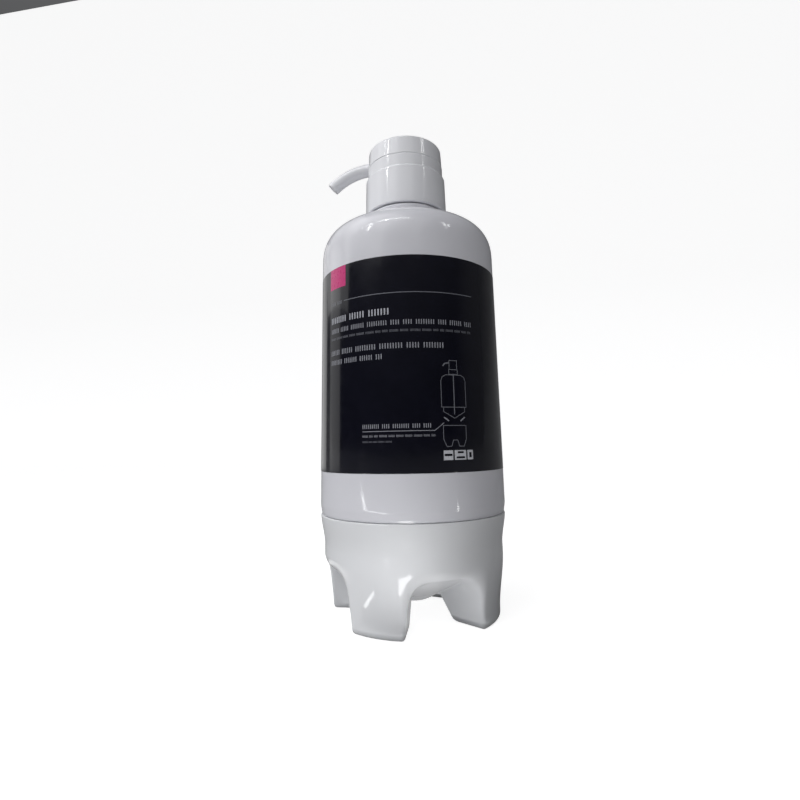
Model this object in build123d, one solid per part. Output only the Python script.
from build123d import *
import math
import os

# Refillable pump bottle standing in a separate four-footed stand.
# Millimetres, +Z up, origin on the axis at floor level, wrap label facing -Y, spout towards -X.

# ---- driving dimensions -------------------------------------------------------------------------
body_radius = 38.0
seam_z = 39.0
seam_gap = 0.3
cutter_reach = 43.0

# stand
stand_wall = 1.8
bowl_lift = 2.1
wall_heights = (0, 2, 8, 12, 17, 26, 32.3, 35.8, 37.8)
wall_radii = (33.2, 34.0, 34.6, 35.3, 35.8, 36.2, 36.7, 37.4, 37.9)
foot_inner_radius = 18.5
foot_half_angle = 17.0
leg_top_half_angle = 22.7
leg_top_z = 24.0
leg_top_inner_radius = 3.0
leg_count = 4
first_leg_angle = -16.5
bowl_tip_z = 4.0
bowl_tip_radius = 10.5
bowl_tip_rise = 3.9
bowl_slope = 0.49
seat_radius = 5.0
seat_z = 5.2

# bottle
bottle_wall = 1.1
slope_lift = 1.375
wall_foot = 3.0
heel_radius = 37.1
heel_height = 3.6
skirt_top_radius = 35.5
skirt_low_radius = 33.7
skirt_low_z = 27.0
funnel_low = (9.6, 10.2)
funnel_high = (29.0, 19.9)
skirt_corner = (32.8, 24.4)
sump_radius = 4.6
shoulder_start_z = 145.6
shoulder_top_z = 162.1
shoulder_top_radius = 19.4
shoulder_power = 2.5
ring_radius = 18.1
ring_top_z = 168.6
ring_round = 1.0
neck_radius = 15.2
neck_bore = 13.2
lip_z = 183.2

# wrap label
label_low_z = 56.0
label_high_z = 137.0
label_film = 0.1

# closure thread
thread_pitch = 4.2
thread_turns = 1.5
neck_crest_radius = 16.25
neck_thread_z = 173.4
collar_root_radius = 16.75
collar_crest_radius = 15.65

# screw collar
collar_low_z = 169.0
collar_high_z = 187.0
collar_low_radius = 18.6
collar_high_radius = 18.3
collar_deck = 1.4
collar_hole = 9.6

# pump engine
gasket_thickness = 1.0
flange_radius = 15.4
flange_thickness = 1.2
barrel_bore = 6.5
barrel_radius = 7.6
barrel_low_z = 146.0
socket_radius = 4.9
socket_low_z = 128.0
dip_tube_radius = 3.5
dip_tube_bore = 2.5
dip_tube_low_z = 8.4
dip_tube_high_z = 139.0
housing_neck_radius = 9.3
housing_top_z = 188.2
seat_bore = 2.0
ball_chamber_radius = 3.6
ball_chamber_z = 143.6
cage_z = 148.0
cage_thickness = 1.6
inlet_ball_radius = 2.6
outlet_ball_radius = 2.0
ball_gap = 0.1

# piston group, shown locked down
stem_flange_z = 161.0
stem_flange_thickness = 1.5
piston_top_z = 169.0
piston_stem_radius = 2.9
piston_stem_bore = 1.5
piston_stem_top_z = 175.0
upper_stem_radius = 4.2
upper_stem_low_z = 171.0
upper_stem_high_z = 193.6
guide_clearance = 0.08
seal_clearance = 0.05
spring_mean_radius = 4.2
spring_wire = 0.8
spring_turns = 8.0

# actuator head
head_radius = 17.4
head_low_z = 187.2
head_groove_z = 192.6
cap_low_radius = 17.3
cap_high_radius = 16.9
head_top_z = 201.3
head_wall = 1.5
hub_radius = 6.4
hub_low_z = 189.8
spout_radius = 3.0
spout_bore = 1.7
spout_start = (-17.0, 195.9)
spout_bend = 28.0
spout_start_angle = 3.0
spout_end_angle = 45.0


# ---- shared helpers -----------------------------------------------------------------------------
def turned(outline):
    """A solid of revolution about Z from a closed face or wire drawn in the XZ plane."""
    return revolve(outline, axis=Axis.Z, revolution_arc=360)


def turned_polygon(*points):
    """A turned solid from straight-sided (radius, height) corners."""
    corners = [(radius, 0, height) for radius, height in points]
    return turned(make_face(Polyline(*corners, close=True)))


def turned_curve(*lines):
    """A turned solid from lines and arcs that close an outline in the XZ plane."""
    edges = [edge for line in lines for edge in line.edges()]
    return turned(make_face(Wire(edges)))


def tube(outer, inner, low, high):
    """A plain tube about Z."""
    return turned_polygon((inner, low), (outer, low), (outer, high), (inner, high))


def disc(radius, low, high):
    """A plain solid cylinder about Z."""
    return Pos(0, 0, low) * Cylinder(radius, high - low, align=(Align.CENTER, Align.CENTER, Align.MIN))


def point(radius, height):
    """A point of a turned outline."""
    return Vector(radius, 0, height)


def helical_ridge(embedded_radius, crest_radius, start_z):
    """A right-hand trapezoidal ridge; it grows from the embedded radius to the crest radius."""
    path = Helix(
        pitch=thread_pitch,
        height=thread_pitch * thread_turns,
        radius=embedded_radius,
        center=(0, 0, start_z),
    )
    wide = 0.30 * thread_pitch
    narrow = 0.15 * thread_pitch
    corners = [
        (embedded_radius, 0, start_z - wide),
        (crest_radius, 0, start_z - narrow),
        (crest_radius, 0, start_z + narrow),
        (embedded_radius, 0, start_z + wide),
    ]
    section = make_face(Polyline(*corners, close=True))
    return sweep(section, path=path, is_frenet=True)


def superellipse(start, end, steps):
    """Points of a quarter superellipse from an upright start to a level end."""
    width = start[0] - end[0]
    rise = end[1] - start[1]
    power = 2 / shoulder_power
    points = []
    for step in range(steps + 1):
        turn = math.radians(90 * step / steps)
        radius = end[0] + width * max(math.cos(turn), 0) ** power
        height = start[1] + rise * math.sin(turn) ** power
        points.append(point(radius, height))
    return points


# ---- stand --------------------------------------------------------------------------------------
def stand_wall_curve(inset):
    """The stand's outer wall from floor to rim, or the same curve set in by a wall thickness."""
    points = [point(radius - inset, height) for radius, height in zip(wall_radii, wall_heights)]
    return Spline(*points)


def stand_envelope(inset, low, high):
    """The solid inside the wall curve, cut between two heights."""
    wall = stand_wall_curve(inset)
    top = wall @ 1
    bottom = wall @ 0
    outline = [
        wall,
        Line(top, point(top.X, seam_z)),
        Line(point(top.X, seam_z), point(0, seam_z)),
        Line(point(0, seam_z), point(0, bottom.Z)),
        Line(point(0, bottom.Z), bottom),
    ]
    whole = turned_curve(*outline)
    return whole & disc(cutter_reach, low, high)


def bowl_height(radius):
    """Height of the straight, sloping part of the bowl's underside."""
    return bowl_tip_z + bowl_tip_rise + bowl_slope * (radius - bowl_tip_radius)


def above_bowl(low_edge, lift):
    """The space above a bowl surface: its low edge, then the straight slope out past the wall."""
    slope_start = point(bowl_tip_radius, bowl_tip_z + bowl_tip_rise + lift)
    reach = cutter_reach
    slope_end = point(reach, bowl_height(reach) + lift)
    above = point(reach, seam_z + 1)
    outline = [
        *low_edge(slope_start),
        Line(slope_start, slope_end),
        Line(slope_end, above),
        Line(above, point(0, seam_z + 1)),
    ]
    outline.append(Line(point(0, seam_z + 1), outline[0] @ 0))
    return turned_curve(*outline)


def above_bowl_underside():
    tip = point(0, bowl_tip_z)
    return above_bowl(lambda end: [TangentArc(tip, end, tangent=(1, 0, 0))], 0)


def above_bowl_floor():
    """Inside, the bowl has a flat round seat for the bottle's sump."""
    centre = point(0, seat_z)
    seat_edge = point(seat_radius, seat_z)
    return above_bowl(lambda end: [Line(centre, seat_edge), Line(seat_edge, end)], bowl_lift)


def leg_wedge(angle, inset, low):
    """One drafted leg, wider at the top, before it is trimmed to the outer wall."""
    sections = []
    ends = [(low, foot_inner_radius, foot_half_angle), (leg_top_z, leg_top_inner_radius, leg_top_half_angle)]
    reach = cutter_reach
    for height, near, half_angle in ends:
        spread = math.tan(math.radians(half_angle))
        near_edge = near + inset * 1.3
        near_half = max(near_edge * spread - inset, 0.15)
        far_half = reach * spread - inset
        corners = [(near_edge, -near_half), (reach, -far_half), (reach, far_half), (near_edge, near_half)]
        sections.append(Plane.XY.offset(height) * make_face(Polyline(*corners, close=True)))
    return Rot(0, 0, angle - 90) * loft(sections)


def make_base_stand():
    shell = stand_envelope(0, 0, seam_z) & above_bowl_underside()
    cavity = stand_envelope(stand_wall, 0, seam_z + 1) & above_bowl_floor()
    for index in range(leg_count):
        angle = first_leg_angle + index * 360 / leg_count
        shell += leg_wedge(angle, 0, 0) & stand_envelope(0, 0, leg_top_z)
        cavity += leg_wedge(angle, stand_wall, stand_wall) & stand_envelope(stand_wall, stand_wall, leg_top_z)
    return shell - cavity


# ---- bottle -------------------------------------------------------------------------------------
def bottle_outside():
    """The solid inside the bottle's outer surface, from sump to ring, without the neck."""
    shoulder = superellipse((body_radius, shoulder_start_z), (shoulder_top_radius, shoulder_top_z), 8)
    heel_low = point(heel_radius, seam_z + seam_gap)
    heel_high = point(body_radius, seam_z + seam_gap + heel_height)
    ring_low = point(ring_radius, shoulder_top_z + shoulder_top_radius - ring_radius)
    ring_high = point(ring_radius, ring_top_z - ring_round)
    ring_edge = point(ring_radius - ring_round, ring_top_z)
    outline = [
        Polyline(
            point(0, seat_z),
            point(sump_radius, seat_z),
            point(*funnel_low),
            point(*funnel_high),
            point(*skirt_corner),
            point(skirt_low_radius, skirt_low_z),
            point(skirt_top_radius, seam_z - 0.1),
            point(skirt_top_radius, seam_z + seam_gap),
            heel_low,
        ),
        TangentArc(heel_high, heel_low, tangent=(0, 0, -1)),
        Line(heel_high, shoulder[0]),
        Spline(*shoulder, tangents=[(0, 0, 1), (-1, 0, 0)]),
        TangentArc(shoulder[-1], ring_low, tangent=(-1, 0, 0)),
        Line(ring_low, ring_high),
        TangentArc(ring_high, ring_edge, tangent=(0, 0, 1)),
        Line(ring_edge, point(0, ring_top_z)),
        Line(point(0, ring_top_z), point(0, seat_z)),
    ]
    return turned_curve(*outline)


def bottle_inside():
    """The space that holds the liquid: sump, funnel, body and shoulder."""
    inner = body_radius - bottle_wall
    crown = point(neck_bore, shoulder_top_z - bottle_wall)
    shoulder = superellipse((inner, shoulder_start_z), (shoulder_top_radius, shoulder_top_z - bottle_wall), 8)
    floor_z = seat_z + bottle_wall
    step_z = seam_z + seam_gap + bottle_wall
    outline = [
        Polyline(
            point(0, floor_z),
            point(sump_radius - 0.4, floor_z),
            point(funnel_low[0], funnel_low[1] + slope_lift),
            point(funnel_high[0] - 0.3, funnel_high[1] + slope_lift),
            point(skirt_corner[0] - bottle_wall, skirt_corner[1] + 0.6),
            point(skirt_low_radius - bottle_wall, skirt_low_z + 0.4),
            point(skirt_top_radius - bottle_wall, step_z),
            point(inner, step_z + wall_foot),
            shoulder[0],
        ),
        Spline(*shoulder, tangents=[(0, 0, 1), (-1, 0, 0)]),
        Line(shoulder[-1], crown),
        Line(crown, point(0, crown.Z)),
        Line(point(0, crown.Z), point(0, floor_z)),
    ]
    return turned_curve(*outline)


def make_bottle():
    body = bottle_outside() + disc(neck_radius, ring_top_z - 1, lip_z)
    body -= bottle_inside()
    body -= disc(neck_bore, shoulder_top_z - 3, lip_z + 1)
    return body + helical_ridge(neck_radius - 0.25, neck_crest_radius, neck_thread_z)


def make_wrap_label():
    return tube(body_radius + label_film, body_radius, label_low_z, label_high_z)


# ---- closure ------------------------------------------------------------------------------------
def make_neck_gasket():
    return tube(neck_radius, barrel_radius + 0.1, lip_z, lip_z + gasket_thickness)


def make_screw_collar():
    deck_low = collar_high_z - collar_deck
    edge_round = 1.1
    side_top = point(collar_high_radius, collar_high_z - edge_round)
    deck_edge = point(collar_high_radius - edge_round, collar_high_z)
    outline = [
        Line(point(collar_low_radius, collar_low_z), side_top),
        TangentArc(side_top, deck_edge, tangent=(0, 0, 1)),
        Polyline(
            deck_edge,
            point(collar_hole, collar_high_z),
            point(collar_hole, deck_low),
            point(collar_root_radius, deck_low),
            point(collar_root_radius, collar_low_z + 0.4),
            point(collar_root_radius + 0.4, collar_low_z),
            point(collar_low_radius, collar_low_z),
        ),
    ]
    ridge_z = neck_thread_z - thread_pitch / 2
    return turned_curve(*outline) + helical_ridge(collar_root_radius + 0.25, collar_crest_radius, ridge_z)


# ---- pump engine --------------------------------------------------------------------------------
def make_pump_housing():
    flange_low = lip_z + gasket_thickness
    flange_high = flange_low + flange_thickness
    housing = turned_polygon(
        (socket_radius, socket_low_z),
        (socket_radius, barrel_low_z - 6),
        (barrel_radius, barrel_low_z),
        (barrel_radius, flange_low),
        (flange_radius, flange_low),
        (flange_radius, flange_high),
        (housing_neck_radius, flange_high),
        (housing_neck_radius, housing_top_z),
        (barrel_bore, housing_top_z),
        (barrel_bore, cage_z),
        (ball_chamber_radius, cage_z),
        (ball_chamber_radius, ball_chamber_z),
        (seat_bore, ball_chamber_z - ball_chamber_radius + seat_bore),
        (seat_bore, dip_tube_high_z),
        (dip_tube_radius, dip_tube_high_z),
        (dip_tube_radius, socket_low_z),
    )
    vent = Pos(0, 0, lip_z - 2.2) * Rot(0, 90, 0) * Cylinder(0.8, 2 * flange_radius)
    return housing - (vent & disc(barrel_radius + 1, lip_z - 5, lip_z))


def make_housing_cap():
    sleeve_bore = upper_stem_radius + guide_clearance
    disc_high = housing_top_z + 1.3
    rim_radius = 12.5
    rim_low = collar_high_z + 0.3
    return turned_polygon(
        (sleeve_bore, housing_top_z - 3.6),
        (sleeve_bore + 1.5, housing_top_z - 3.6),
        (sleeve_bore + 1.5, housing_top_z),
        (housing_neck_radius, housing_top_z),
        (housing_neck_radius, rim_low),
        (rim_radius, rim_low),
        (rim_radius, disc_high - 0.5),
        (rim_radius - 0.5, disc_high),
        (sleeve_bore, disc_high),
    )


def make_dip_tube():
    pipe = tube(dip_tube_radius, dip_tube_bore, dip_tube_low_z, dip_tube_high_z)
    slant = Pos(dip_tube_radius, 0, dip_tube_low_z - 2) * Rot(0, 35, 0) * Box(12, 10, 5)
    return pipe - slant


def make_ball_cage():
    ring_inner = spring_mean_radius - 0.8
    cage = tube(barrel_bore, ring_inner, cage_z, cage_z + cage_thickness)
    cage += tube(ring_inner + 0.3, ring_inner - 0.6, cage_z + 0.2, cage_z + cage_thickness + 1.2)
    cage += disc(1.3, cage_z, cage_z + cage_thickness)
    for index in range(3):
        spoke = Pos(ring_inner / 2, 0, cage_z + cage_thickness / 2) * Box(ring_inner, 1.2, cage_thickness)
        cage += Rot(0, 0, index * 120) * spoke
    return cage


def make_inlet_ball():
    seat_low = ball_chamber_z - ball_chamber_radius
    centre_z = seat_low + math.sqrt(2) * (inlet_ball_radius + ball_gap)
    return Pos(0, 0, centre_z) * Sphere(inlet_ball_radius)


def make_main_spring():
    low = cage_z + cage_thickness + spring_wire / 2
    high = stem_flange_z - spring_wire / 2
    path = Helix(
        pitch=(high - low) / spring_turns,
        height=high - low,
        radius=spring_mean_radius,
        center=(0, 0, low),
    )
    wire_section = Plane(origin=path @ 0, z_dir=path % 0) * Circle(spring_wire / 2)
    return sweep(wire_section, path=path, is_frenet=True)


# ---- piston group -------------------------------------------------------------------------------
def make_piston():
    lip = barrel_bore - seal_clearance
    bore = piston_stem_radius + seal_clearance
    low = stem_flange_z + stem_flange_thickness
    waist = barrel_bore - 1.0
    return turned_polygon(
        (bore, low),
        (lip - 0.9, low),
        (lip, low + 0.3),
        (lip, low + 1.2),
        (waist, low + 2.2),
        (waist, piston_top_z - 2.2),
        (lip, piston_top_z - 1.2),
        (lip, piston_top_z - 0.3),
        (lip - 0.4, piston_top_z),
        (lip - 1.4, piston_top_z - 1.4),
        (bore, piston_top_z - 1.4),
    )


def make_piston_stem():
    flange_high = stem_flange_z + stem_flange_thickness
    return turned_polygon(
        (piston_stem_bore, stem_flange_z),
        (spring_mean_radius + 1, stem_flange_z),
        (spring_mean_radius + 1, flange_high),
        (piston_stem_radius, flange_high),
        (piston_stem_radius, piston_stem_top_z),
        (piston_stem_bore, piston_stem_top_z),
    )


def make_upper_stem():
    chamber_radius = piston_stem_radius - 0.3
    chamber_high = piston_stem_top_z + 3.6
    return turned_polygon(
        (piston_stem_radius, upper_stem_low_z),
        (upper_stem_radius, upper_stem_low_z),
        (upper_stem_radius, upper_stem_high_z),
        (piston_stem_bore, upper_stem_high_z),
        (piston_stem_bore, chamber_high + chamber_radius - piston_stem_bore),
        (chamber_radius, chamber_high),
        (chamber_radius, piston_stem_top_z),
        (piston_stem_radius, piston_stem_top_z),
    )


def make_outlet_ball():
    reach = outlet_ball_radius + ball_gap
    centre_z = piston_stem_top_z + math.sqrt(reach**2 - piston_stem_bore**2)
    return Pos(0, 0, centre_z) * Sphere(outlet_ball_radius)


# ---- actuator head ------------------------------------------------------------------------------
def spout_path():
    """The spout's centreline: nearly level out of the hub, then one round bend down to the mouth."""
    start = math.radians(spout_start_angle)
    end = math.radians(spout_end_angle)
    side = Vector(spout_start[0], 0, spout_start[1])
    inner = Vector(0, 0, side.Z - side.X * math.tan(start))
    mouth = side + Vector(
        -spout_bend * (math.sin(end) - math.sin(start)),
        0,
        -spout_bend * (math.cos(start) - math.cos(end)),
    )
    heading = (-math.cos(start), 0, -math.sin(start))
    return Wire([Line(inner, side), TangentArc(side, mouth, tangent=heading)])


def spout_rod(radius):
    path = spout_path()
    return sweep(Plane(origin=path @ 0, z_dir=path % 0) * Circle(radius), path=path)


def make_head_body():
    band_inner = head_radius - head_wall
    deck_low = head_groove_z - 1.3
    hub_top = head_top_z - 2.0
    ring_outer = cap_low_radius - head_wall - 0.15
    groove = 0.3
    body = turned_polygon(
        (band_inner, head_low_z),
        (head_radius - 0.2, head_low_z),
        (head_radius, head_low_z + 0.2),
        (head_radius, head_groove_z - groove),
        (head_radius - groove, head_groove_z),
        (ring_outer, head_groove_z),
        (ring_outer, head_groove_z + 2.6),
        (ring_outer - 1.3, head_groove_z + 2.6),
        (ring_outer - 1.3, head_groove_z),
        (hub_radius, head_groove_z),
        (hub_radius, hub_top),
        (0, hub_top),
        (0, hub_low_z),
        (hub_radius, hub_low_z),
        (hub_radius, deck_low),
        (band_inner, deck_low),
    )
    outside_bore = spout_rod(spout_radius) - disc(hub_radius - 1, hub_low_z, hub_top)
    body += outside_bore
    body -= disc(upper_stem_radius, hub_low_z - 1, upper_stem_high_z)
    body -= disc(spout_bore + 0.3, upper_stem_high_z - 1, spout_start[1] + 2.0)
    return body - spout_rod(spout_bore)


def make_head_cap():
    top_round = 0.9
    groove = 0.3
    cap_inner = cap_low_radius - head_wall
    side_low = point(cap_low_radius, head_groove_z + groove)
    side_high = point(cap_high_radius, head_top_z - top_round)
    rim = point(cap_high_radius - top_round, head_top_z)
    dish = point(0, head_top_z - 0.5)
    outline = [
        Line(point(cap_low_radius - groove, head_groove_z), side_low),
        Line(side_low, side_high),
        TangentArc(side_high, rim, tangent=(0, 0, 1)),
        Line(rim, point(rim.X - 1.2, head_top_z)),
        TangentArc(dish, point(rim.X - 1.2, head_top_z), tangent=(1, 0, 0)),
        Polyline(
            dish,
            point(0, head_top_z - 1.6),
            point(cap_inner - 0.5, head_top_z - 1.6),
            point(cap_inner, head_top_z - 2.1),
            point(cap_inner, head_groove_z),
            point(cap_low_radius - groove, head_groove_z),
        ),
    ]
    return turned_curve(*outline) - spout_notch(cap_low_radius)


def spout_notch(reach):
    """A round-topped slot that lets the cap pass over the spout from above."""
    clear = spout_radius + 0.15
    centre_z = spout_start[1] + 0.1
    low = head_groove_z - 1
    arch = Pos(0, centre_z) * Circle(clear)
    slot = Pos(0, (centre_z + low) / 2) * Rectangle(2 * clear, centre_z - low)
    face = Plane(origin=(-reach - 1, 0, 0), x_dir=(0, 1, 0), z_dir=(1, 0, 0)) * (arch + slot)
    return extrude(face, amount=reach / 2)


# ---- all pieces ---------------------------------------------------------------------------------
pieces = {
    "base_stand": make_base_stand,
    "bottle": make_bottle,
    "wrap_label": make_wrap_label,
    "neck_gasket": make_neck_gasket,
    "screw_collar": make_screw_collar,
    "pump_housing": make_pump_housing,
    "housing_cap": make_housing_cap,
    "dip_tube": make_dip_tube,
    "ball_cage": make_ball_cage,
    "inlet_ball": make_inlet_ball,
    "main_spring": make_main_spring,
    "piston": make_piston,
    "piston_stem": make_piston_stem,
    "upper_stem": make_upper_stem,
    "outlet_ball": make_outlet_ball,
    "head_body": make_head_body,
    "head_cap": make_head_cap,
}

os.makedirs("parts", exist_ok=True)
for name, make in pieces.items():
    export_step(make(), f"parts/{name}.step")
